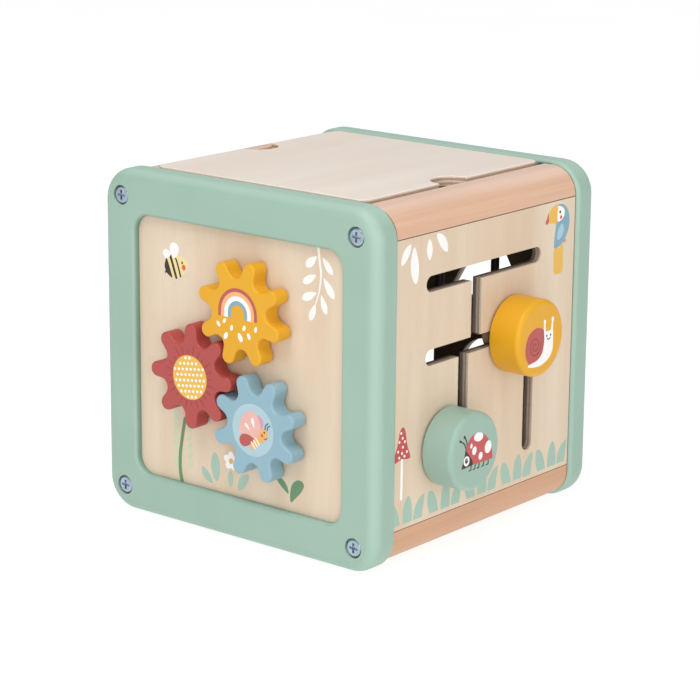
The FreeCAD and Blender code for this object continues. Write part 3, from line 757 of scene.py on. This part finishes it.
def print_front(sheet):
    """Bee, leaf sprig, stems, leaves and a small flower on the panel behind the gears."""
    bee = blob(
        (-55.7, 48.8), (-54.2, 52.4), (-50.9, 54.9), (-45.2, 55.2), (-40.4, 54.2), (-38.3, 51.2),
        (-38.9, 48.6), (-42.4, 44.4), (-47.7, 42.2), (-50.1, 42.1), (-54.4, 44.9),
    )
    printed(sheet, "bee_body", [bee], "bee_yellow")
    stripes = [
        blob(
            (-55.9, 48.8), (-55.3, 51.1), (-54.3, 52.7), (-52.7, 49.4), (-51.2, 45.5),
            (-50.1, 42.2), (-52.8, 43.2), (-54.6, 44.7), (-55.7, 46.8),
        ),
        leaf((-54.2, 45.6), (-55.8, 44), 1.2),
        stroke([(-51.6, 54.4), (-49.9, 50.2), (-48.5, 46.2), (-47.1, 42.6)], 1.7, 1.6, 4),
        stroke([(-47.4, 53.4), (-46.1, 50.4), (-45, 47.2), (-43.9, 43.8)], 1.0, 1.15, 4),
    ]
    printed(sheet, "bee_stripes", stripes, "dark", 2)
    printed(
        sheet,
        "bee_wings",
        [
            blob(
                (-57.3, 55.6), (-56.1, 57.4), (-54.3, 57.8), (-52.4, 57), (-51.1, 55.4),
                (-52.6, 53.4), (-54.8, 52.5), (-56.4, 53.5),
            ),
            blob(
                (-51.8, 58.2), (-51.2, 61.2), (-49.2, 62.3), (-46.9, 61.9), (-45.3, 60.1),
                (-45.2, 57.7), (-46.4, 55), (-48.7, 53.4), (-50.4, 54.9),
            ),
        ],
        "cream",
        3,
    )
    printed(sheet, "bee_eye", [ellipse((-42.6, 51.6), 0.6, 0.75, count=16)], "dark", 2)
    printed(sheet, "bee_cheek", [ellipse((-41.4, 49.1), 1.3, 1.6, count=24)], "cheek", 2)

    stem = [(55.9, 75.3), (57, 67), (57.9, 60), (56.6, 50.4), (53.8, 42.6)]
    leaves = [
        ((55, 69.8), (47.4, 63.2), 4.8), ((54.6, 59.6), (45.4, 54), 4.4),
        ((54.8, 49.8), (44.8, 45.2), 4.6), ((54.2, 43.6), (50.4, 34.2), 4.0),
        ((58.8, 69.8), (66, 61.2), 4.0), ((59.6, 58.8), (67, 48.4), 4.6),
        ((58, 49.4), (61.8, 39), 3.9),
    ]
    sprig = [leaf(base, tip, width, 0.6, blunt=0.62) for base, tip, width in leaves]
    printed(sheet, "leaf_sprig", sprig, "cream")
    printed(sheet, "leaf_sprig_stem", [stroke(stem, 1.7, 0.5)], "cream", 2)

    fern = []
    for row in range(7):
        z = -32.8 - 5.4 * row
        x = -48.6 + 0.05 * (row - 4) ** 2
        fern.append(leaf((x + 1.8, z - 2.4), (x - 1.6, z + 2.6), 3.2, 0.5, blunt=0.5))
        if row > 1:
            fern.append(leaf((x + 9, z - 1.6), (x + 12.4, z + 3), 3.2, 0.5, blunt=0.5))
    printed(sheet, "fern_leaves", fern, "pale_green")
    flower_stem = [(-41.4, -38), (-43.8, -50), (-45.3, -60), (-45.3, -69), (-44, -75.6)]
    printed(sheet, "flower_stem", [stroke(flower_stem, 2.2, 2.5)], "green", 2)
    printed(
        sheet,
        "ground_leaves",
        [
            leaf((-17.8, -70), (-18.8, -53), 7, 0.5, blunt=0.6),
            leaf((-20.4, -71.6), (-28.6, -63.4), 4.8, 0.55, 0.05, 0.6),
            leaf((-7.1, -71.2), (-7, -61.2), 4, 0.5, blunt=0.6),
            leaf((-1, -71.8), (6.4, -61.2), 5.6, 0.5, 0.05, 0.6),
        ],
        "mint",
    )
    flower = (-6.6, -55.9)
    petals = []
    for k in range(5):
        angle = 90 + 72 * k
        offset = turned((2.9, 0), angle)
        petals.append(ellipse((flower[0] + offset[0], flower[1] + offset[1]), 2.6, 2.2, angle, 24))
    printed(sheet, "small_flower", petals, "cream", 2)
    printed(sheet, "small_flower_eye", [ellipse(flower, 1.6)], "orange", 3)
    seedling = [(34, -49), (35.6, -59), (36.6, -65.4), (37.2, -70.4)]
    printed(sheet, "two_leaf_stem", [stroke(seedling, 0.8, 1.2)], "pale_green")
    printed(
        sheet,
        "two_leaves",
        [
            blob(
                (37.5, -70.4), (36.8, -66), (38, -60.6), (41.4, -57.2), (45, -57), (46.6, -59.4),
                (44.4, -63.6), (40.6, -67.6),
            ),
            blob(
                (35.6, -65.9), (32.4, -64.2), (28, -60.6), (27, -58.2), (31, -58.4), (34.4, -61.6)
            ),
        ],
        "green",
        2,
    )


def print_yellow_gear(sheet):
    """Rainbow over a shower of drops."""
    centre = (9.3, 33.3)
    bands = [("maroon", 14, 12), ("peach", 12, 9.6), ("cream", 9.6, 7), ("sky", 7, 4.8)]
    for colour, outer, inner in bands:
        printed(sheet, "rainbow_" + colour, [arch(centre, outer, inner, 30.4)], colour)
    drops = [
        (-4.6, 25.6, 40, 1.8), (-0.2, 28, -35, 1.6), (5, 24.8, -10, 1.7), (14.1, 26, -25, 1.7),
        (0.8, 19.8, -28, 2.3), (11.2, 20.4, 28, 2.7), (17.4, 22, 25, 1.9), (22.4, 26.6, -12, 1.7),
    ]
    shapes = []
    for x, z, lean, size in drops:
        tip = turned((0, size), lean)
        base = turned((0, -size), lean)
        ends = ((x + base[0], z + base[1]), (x + tip[0], z + tip[1]))
        shapes.append(leaf(*ends, 0.95 * size + 0.4, 0.45, blunt=0.5, count=12))
    printed(sheet, "rain_drops", shapes, "cream")


def print_red_gear(sheet):
    """Flower heart with a grid of dots, and fine lines out into the petals."""
    centre = (-26.3, -8.8)
    radius = 12.6
    printed(sheet, "flower_heart", [ellipse(centre, radius, count=72)], "yellow")
    dots = []
    for row in range(-4, 5):
        for column in range(-5, 6):
            x = column * 3.0 + (1.5 if row % 2 else 0.0)
            x, z = turned((x, (row + 0.5) * 3.15), 8)
            if math.hypot(x, z) < radius - 0.9:
                dots.append(ellipse((centre[0] + x, centre[1] + z), 0.85, count=16))
    printed(sheet, "flower_dots", dots, "cream", 2)
    lines = []
    for k in range(24):
        angle = 15 * k + 5
        start = turned((13.7, 0), angle)
        end = turned((15.9 + 1.5 * (k % 3), 0), angle)
        ends = [(centre[0] + x, centre[1] + z) for x, z in (start, end)]
        lines.append(stroke(ends, 0.5, 0.3, 1))
    printed(sheet, "petal_lines", lines, "deep_red")


def print_blue_gear(sheet):
    """Pale disc with a butterfly seen from the side."""
    printed(sheet, "butterfly_disc", [ellipse((20.2, -30.1), 14.8, count=72)], "pale_blue")
    far_wing = blob(
        (22.6, -21.4), (25.4, -21.4), (27.7, -23.8), (27.4, -26.9), (25.4, -29.2), (22.6, -27)
    )
    printed(sheet, "butterfly_far_wing", [far_wing], "lilac", 2)
    upper = blob(
        (11.2, -33.4), (10.5, -30.4), (11.6, -25.9), (13.7, -22.2), (17.3, -19.8), (21.3, -19.9),
        (24.1, -22.4), (25.9, -27.2), (25.4, -31), (23.6, -33.8), (21.3, -34.6), (16.6, -32.9),
    )
    printed(sheet, "butterfly_upper_wing", [upper], "pink", 3)
    lower = blob(
        (21.6, -35.2), (18.8, -33.6), (15.2, -33), (12.3, -33.8), (10.6, -36.3), (11.3, -39.1),
        (13.8, -40.3), (17, -39.3), (19.5, -37.2),
    )
    printed(sheet, "butterfly_lower_wing", [lower], "maroon", 4)
    marks = [
        leaf((18.2, -30.4), (14.6, -27), 1.5, 0.65, blunt=0.6),
        leaf((21.3, -28.7), (19.7, -23), 2, 0.65, blunt=0.6),
    ]
    printed(sheet, "butterfly_marks", marks, "cream", 4)
    printed(
        sheet,
        "butterfly_body",
        [stroke([(19.9, -39.4), (23, -36.4), (27, -33)], 3.2, 4.4), ellipse((28.3, -31), 3, 3.2)],
        "orange",
        5,
    )
    bands = []
    for share in (0.08, 0.3, 0.52):
        x, z = 19.9 + 7.1 * share, -39.2 + 6.4 * share
        bands.append(stroke([(x - 1.1, z + 1.8), (x + 1.5, z - 1.4)], 0.75, steps=1))
    printed(sheet, "butterfly_bands", bands, "cream", 6)
    printed(sheet, "butterfly_cheek", [ellipse((27.1, -31.7), 0.95, count=20)], "cheek", 6)
    printed(
        sheet,
        "butterfly_lines",
        [
            stroke([(29.3, -28), (29.4, -25.9), (31.2, -24.2)], 0.42),
            stroke([(30.7, -28.2), (31.2, -26.3), (32.7, -25.3)], 0.42),
            ellipse((28.7, -29.8), 0.6, count=16),
            stroke([(28.7, -33.2), (29.6, -33.5), (30.4, -32.6)], 0.42),
        ],
        "dark",
        6,
    )


def upright_blade(x, base):
    return curve(
        [
            (x - 4, base), (x - 3.9, base + 5.6), (x - 2.6, base + 11.2), (x + 0.8, base + 14.9),
            (x + 3.3, base + 11.4), (x + 4.3, base + 5.8), (x + 4, base),
        ]
    )


def right_blade(x, base):
    return curve(
        [
            (x - 4.4, base), (x - 3.2, base + 5.8), (x - 0.2, base + 10.2), (x + 4.6, base + 13),
            (x + 5.2, base + 10.8), (x + 4.2, base + 5.2), (x + 3.2, base),
        ]
    )


def left_blade(x, base):
    return curve(
        [
            (x - 3.2, base), (x - 5.2, base + 5.4), (x - 5.2, base + 10.4), (x - 3.6, base + 13),
            (x - 0.8, base + 12.2), (x + 2.4, base + 7.6), (x + 4.5, base),
        ]
    )


# How far a side panel shows on each side of the middle, in millimetres
SIDE_REACH = 81.5
GRASS_FIRST = -103.8
GRASS_LAST = 80
GRASS_PERIOD = 33.8


def grass_row(base):
    """Row of broad blades: upright, leaning one way, leaning the other, over and over."""
    blades = []
    for k in range(6):
        x = GRASS_FIRST + GRASS_PERIOD * k
        for place, blade in ((x, upright_blade), (x + 9.6, right_blade), (x + 23.2, left_blade)):
            if place < GRASS_LAST:
                blades.append(clipped(blade(place, base), -SIDE_REACH, SIDE_REACH))
    return blades


def print_right(sheet):
    """Leaves, a bird, a toadstool and a row of grass around the slot maze."""
    printed(
        sheet,
        "corner_leaves",
        [
            leaf((-77.8, 67.8), (-70, 78.2), 5.2, 0.5, 0.03, 0.6),
            leaf((-65.2, 56), (-67.2, 76.4), 6.8, 0.45, 0.02, 0.62),
            leaf((-53.6, 67), (-54.1, 78.6), 4.8, 0.5, blunt=0.6),
            leaf((-38.2, 69.2), (-47.6, 80.4), 5.8, 0.5, -0.05, 0.6),
        ],
        "cream",
    )
    body = blob(
        (63.4, 78.2), (67, 79.4), (71.2, 78.2), (75, 74.2), (76.4, 68), (74.4, 61.8), (70.2, 56.8),
        (65.6, 54.8), (61.8, 54.6), (61.7, 60), (63, 68),
    )
    printed(sheet, "bird_body", [body], "sky")
    face = blob((63.9, 78), (67.6, 78), (70.8, 75.6), (70.6, 72.2), (67.8, 70), (64.2, 70.2))
    printed(sheet, "bird_face", [face], "cream", 2)
    printed(sheet, "bird_eye", [ellipse((66.6, 74.9), 0.85, count=16)], "dark", 3)
    printed(sheet, "bird_cheek", [ellipse((67.6, 71.8), 1.05, 1.2, count=16)], "cheek", 3)
    wing = blob((68.6, 68), (70.9, 64.6), (69.4, 61), (66.6, 59), (64.4, 59.6), (65, 64.4))
    printed(sheet, "bird_wing", [wing], "wing_blue", 2)
    beak = blob(
        (64, 79), (60.4, 79), (56.8, 77), (55, 73.4), (55.6, 70.2), (60, 69.4), (63.6, 68.8),
        (64, 73.6),
    )
    printed(sheet, "bird_beak", [beak], "yellow", 3)
    beak_tip = leaf((55.3, 76.2), (53.4, 69.4), 2.6, 0.75, 0.06, 0.7)
    printed(sheet, "bird_beak_tip", [beak_tip], "red", 4)
    printed(sheet, "bird_foot", [stroke([(72.8, 57.8), (71.2, 56.6)], 0.7, steps=1)], "red", 2)
    tail = blob(
        (61.8, 53.8), (61.7, 47), (62, 40.6), (66, 39), (70.6, 40.4), (70.6, 48), (70, 55.6),
        (66, 54),
    )
    printed(sheet, "bird_tail", [tail], "yellow", 2)
    cap = blob(
        (-74.8, -20.6), (-77.2, -22.8), (-79.2, -30), (-81.6, -35.4), (-81.5, -39.4),
        (-76, -38.4), (-69, -39.2), (-68.2, -37.2), (-70.6, -31.6), (-72.6, -23),
    )
    printed(sheet, "toadstool_cap", [clipped(cap, -SIDE_REACH, 0)], "red")
    spots = [
        (-76.1, -23.6), (-74.8, -26.6), (-77.6, -28.3), (-72.9, -28.9), (-74.6, -31.6),
        (-78.6, -33.4), (-75.2, -35), (-71, -34.9), (-77.6, -37), (-73.1, -37),
    ]
    printed(sheet, "toadstool_spots", [ellipse(spot, 0.8, count=16) for spot in spots], "cream", 2)
    toadstool_stem = stroke([(-75.2, -39), (-75.3, -50), (-75.4, -60.4)], 1.9, steps=2)
    printed(sheet, "toadstool_stem", [toadstool_stem], "cream", 2)
    printed(sheet, "grass", grass_row(-75.2), "mint")


def print_snail(sheet):
    """Snail on the yellow knob."""
    shell = (15.6, 10)
    outline = blob(
        (19.6, 19.6), (14.6, 19.6), (9.6, 17), (6.8, 11.6), (7.2, 5), (10.6, 0.6), (16.4, 0),
        (22, 3.6), (25, 10), (24, 17),
    )
    printed(sheet, "snail_shell", [outline], "maroon", 2)
    winding = []
    for k in range(44):
        angle = math.radians(17 * k)
        reach = 0.7 + 0.115 * k
        dx, dy = reach * math.cos(angle), 1.1 * reach * math.sin(angle)
        winding.append((shell[0] + dx, shell[1] + dy))
    printed(sheet, "snail_spiral", [stroke(winding, 0.45, 0.5, 1)], "deep_red", 3)
    body = blob(
        (24, 17.6), (25.8, 16.4), (30, 16.6), (32.2, 16.6), (32.6, 12), (32.2, 5), (28.4, 0.4),
        (20.6, -2.2), (11, -1.4), (9.4, -0.2), (12.6, 0.6), (18.4, 1.6), (22.6, 5), (24.2, 11),
    )
    printed(
        sheet,
        "snail_body",
        [
            body,
            stroke([(24.8, 15.4), (24.3, 19), (24.4, 22)], 1.7, 1.2),
            stroke([(31.3, 15.4), (31.5, 19), (31.9, 22.2)], 1.7, 1.2),
            ellipse((24.4, 22.2), 0.9, 1.3, 0, 20),
            ellipse((31.9, 22.4), 1, 1.5, 0, 20),
        ],
        "cream",
        4,
    )
    printed(
        sheet,
        "snail_face",
        [
            ellipse((26.5, 13.9), 0.65, count=14),
            ellipse((30.1, 13.9), 0.65, count=14),
            stroke([(26.8, 12.4), (28.3, 11.6), (29.8, 12.4)], 0.6),
        ],
        "dark",
        5,
    )


def print_ladybird(sheet):
    """Ladybird on the mint knob."""
    head = blob(
        (-46, -35.2), (-47.6, -39.6), (-49.7, -45), (-49.2, -45.8), (-44, -45.6), (-39.2, -44.8),
        (-41.4, -39.4),
    )
    printed(sheet, "ladybird_head", [head], "dark")
    legs = [
        stroke([(x, -44.6), (x - 0.3, -48.1), (x - 1.8, -48.1)], 0.8, 0.75, 1)
        for x in (-41.2, -37.6, -34, -29.8, -25.6)
    ]
    feelers = [
        stroke([(-46, -35.6), (-48, -31.8), (-51.2, -29.8)], 0.8, 0.7),
        stroke([(-45.2, -35), (-45.8, -31), (-47.5, -28.4)], 0.8, 0.7),
        ellipse((-51.4, -29.7), 0.95, 0.7, -20, 16),
        ellipse((-47.7, -28.1), 0.8, 1, 20, 16),
    ]
    printed(sheet, "ladybird_legs", legs + feelers, "dark", 2)
    back = blob(
        (-22, -45), (-23, -39.4), (-26.2, -33.8), (-30.3, -30.2), (-35.2, -28.3), (-39.6, -28.6),
        (-43.2, -30.6), (-46.2, -35.3), (-43, -39.6), (-40.4, -42.6), (-39, -45.2), (-30, -45.6),
        (-23, -45.6),
    )
    printed(sheet, "ladybird_back", [back], "red", 3)
    spots = [
        ellipse((-35.2, -30.6), 4.2, 2.5, -8, 28),
        ellipse((-26.3, -38.2), 3, 3.6, -14, 28),
        ellipse((-38.8, -37.6), 1.9, 2.4, -12, 28),
        ellipse((-33.1, -41.8), 1.8, 2.2, -12, 28),
        ellipse((-41.6, -34.4), 0.95, 1.4, -10, 28),
    ]
    printed(sheet, "ladybird_spots", spots, "cream", 4)
    printed(sheet, "ladybird_eye", [ellipse((-45.7, -42), 2.6, 2.8, 0, 28)], "cream", 4)
    printed(sheet, "ladybird_pupil", [ellipse((-45.8, -41.8), 1.35, 1.5, 0, 20)], "dark", 5)
    printed(sheet, "ladybird_glint", [ellipse((-45.4, -41.3), 0.4, count=12)], "cream", 6)


def print_left(sheet):
    """The side away from the knobs: grass and three sprigs."""
    printed(sheet, "left_grass", grass_row(-75.6), "mint")
    sprigs = (("cream", -44, -14, 1.05), ("green", 38, -2, 1.25), ("pale_green", -2, 20, 0.85))
    for colour, x, z, size in sprigs:
        stem = [(x, z - 34 * size), (x + 2 * size, z - 8 * size), (x, z + 18 * size)]
        leaves = []
        for row in range(5):
            level = z - 22 * size + 8.6 * size * row
            reach = (11.0 - row) * size
            right_tip = (x + 1 + reach, level + 7 * size)
            left_tip = (x + 0.6 - reach, level + 5 * size)
            leaves.append(leaf((x + 1.2, level), right_tip, 4.6 * size, 0.6, blunt=0.6))
            leaves.append(leaf((x + 0.4, level - 3), left_tip, 4.6 * size, 0.6, blunt=0.6))
        leaves.append(leaf((x, z + 17 * size), (x - 1, z + 29 * size), 4.8 * size, 0.5))
        printed(sheet, f"left_sprig_{colour}", leaves, colour)
        printed(sheet, f"left_stem_{colour}", [stroke(stem, 1.2 * size, 0.8)], colour, 2)


def print_rear(sheet):
    """A small rosette between the posting holes."""
    leaves = []
    for k in range(8):
        angle = 45 * k + 22.5
        base = turned((1.6, 0), angle)
        tip = turned((6.4, 0), angle)
        leaves.append(leaf(base, tip, 2.6, 0.55))
    printed(sheet, "rear_rosette", leaves, "mint")
    printed(sheet, "rear_rosette_eye", [ellipse((0, 0), 1.5)], "yellow", 2)


def print_pictures():
    """Prints every face, each given by its node, right direction, body and slot."""
    faces = [
        (print_front, "front_panel", X_AXIS, "cube", "plywood"),
        (print_right, "right_panel", Y_AXIS, "cube", "plywood"),
        (print_left, "left_panel", -Y_AXIS, "cube", "plywood"),
        (print_rear, "rear_panel", -X_AXIS, "cube", "plywood"),
        (print_red_gear, "red_gear", X_AXIS, "red_gear", "red_paint"),
        (print_yellow_gear, "yellow_gear", X_AXIS, "yellow_gear", "yellow_paint"),
        (print_blue_gear, "blue_gear", X_AXIS, "blue_gear", "blue_paint"),
        (print_snail, "yellow_knob", Y_AXIS, "yellow_knob", "yellow_paint"),
        (print_ladybird, "mint_knob", Y_AXIS, "mint_knob", "mint_paint"),
    ]
    for draw, node, right, body, slot in faces:
        draw(Sheet(node, right, Z_AXIS, body, slot))


# ---------------------------------------------------------------- studio

AZIMUTH = 39.34
ELEVATION = 14.72
ROLL = -0.51
DISTANCE = 1.426
LENS = 127.0
SENSOR = 36.0
AIM_RIGHT = 0.0002
AIM_UP = 0.0094


def make_camera():
    azimuth, elevation, roll = (math.radians(v) for v in (AZIMUTH, ELEVATION, ROLL))
    back = Vector(
        (
            math.sin(azimuth) * math.cos(elevation),
            -math.cos(azimuth) * math.cos(elevation),
            math.sin(elevation),
        )
    )
    level_right = Vector((math.cos(azimuth), math.sin(azimuth), 0))
    level_up = back.cross(level_right)
    right = level_right * math.cos(roll) - level_up * math.sin(roll)
    up = level_right * math.sin(roll) + level_up * math.cos(roll)
    data = bpy.data.cameras.new("photo_view")
    data.lens = LENS
    data.sensor_width = SENSOR
    data.clip_start = 0.05
    data.clip_end = 50
    camera = bpy.data.objects.new("photo_view", data)
    matrix = camera.matrix_world.copy()
    matrix.col[0] = (*right, 0)
    matrix.col[1] = (*up, 0)
    matrix.col[2] = (*back, 0)
    place = CENTRE - right * AIM_RIGHT - up * AIM_UP + back * DISTANCE
    matrix.col[3] = (*place, 1)
    camera.matrix_world = matrix
    bpy.context.scene.collection.objects.link(camera)
    bpy.context.scene.camera = camera


WORLD_STRENGTH = 0.43
LAMPS = [
    ("key_light", (0.2, -0.9, 1.9), 1.5, 22.5),
    ("corner_light", (1.35, -1.4, 0.6), 1.0, 10.0),
    ("side_light", (2.1, 0.2, 0.9), 1.4, 5.0),
]
FLOOR_GLOW = 0.84
FLOOR_LEVEL = -0.0002
FLOOR_REACH = 6.0


def area_light(name, place, size, power):
    """Round soft light that shines at the middle of the cube; place and size in metres."""
    data = bpy.data.lights.new(name, "AREA")
    data.shape = "DISK"
    data.size = size
    data.energy = power
    lamp = bpy.data.objects.new(name, data)
    lamp.location = place
    lamp.rotation_mode = "QUATERNION"
    lamp.rotation_quaternion = (CENTRE - Vector(place)).to_track_quat("-Z", "Y")
    bpy.context.scene.collection.objects.link(lamp)


def make_studio():
    world = bpy.data.worlds.new("studio")
    world.use_nodes = True
    background = world.node_tree.nodes["Background"]
    background.inputs["Color"].default_value = (1, 1, 1, 1)
    background.inputs["Strength"].default_value = WORLD_STRENGTH
    bpy.context.scene.world = world
    for name, place, size, power in LAMPS:
        area_light(name, place, size, power)

    shader = Shader("studio_floor", (0.9, 0.9, 0.9, 1))
    cloud = shader.noise((3, 3, 3), 2.0)
    tone = shader.blend(cloud, (0.24, 0.24, 0.24, 1), (0.28, 0.28, 0.28, 1))
    shader.set(
        Base_Color=tone, Roughness=0.9, Emission_Color=(1, 1, 1, 1), Emission_Strength=FLOOR_GLOW
    )
    mesh = bpy.data.meshes.new("studio_floor")
    corners = [
        (x * FLOOR_REACH, y * FLOOR_REACH, FLOOR_LEVEL)
        for x, y in ((-1, -1), (1, -1), (1, 1), (-1, 1))
    ]
    mesh.from_pydata(corners, [], [(0, 1, 2, 3)])
    mesh.materials.append(shader.material)
    floor = bpy.data.objects.new("studio_floor", mesh)
    bpy.context.scene.collection.objects.link(floor)
    bpy.context.scene.view_settings.view_transform = "Standard"
    bpy.context.scene.view_settings.look = "None"


dress_nodes()
print_pictures()
make_studio()
make_camera()

bpy.context.view_layer.update()
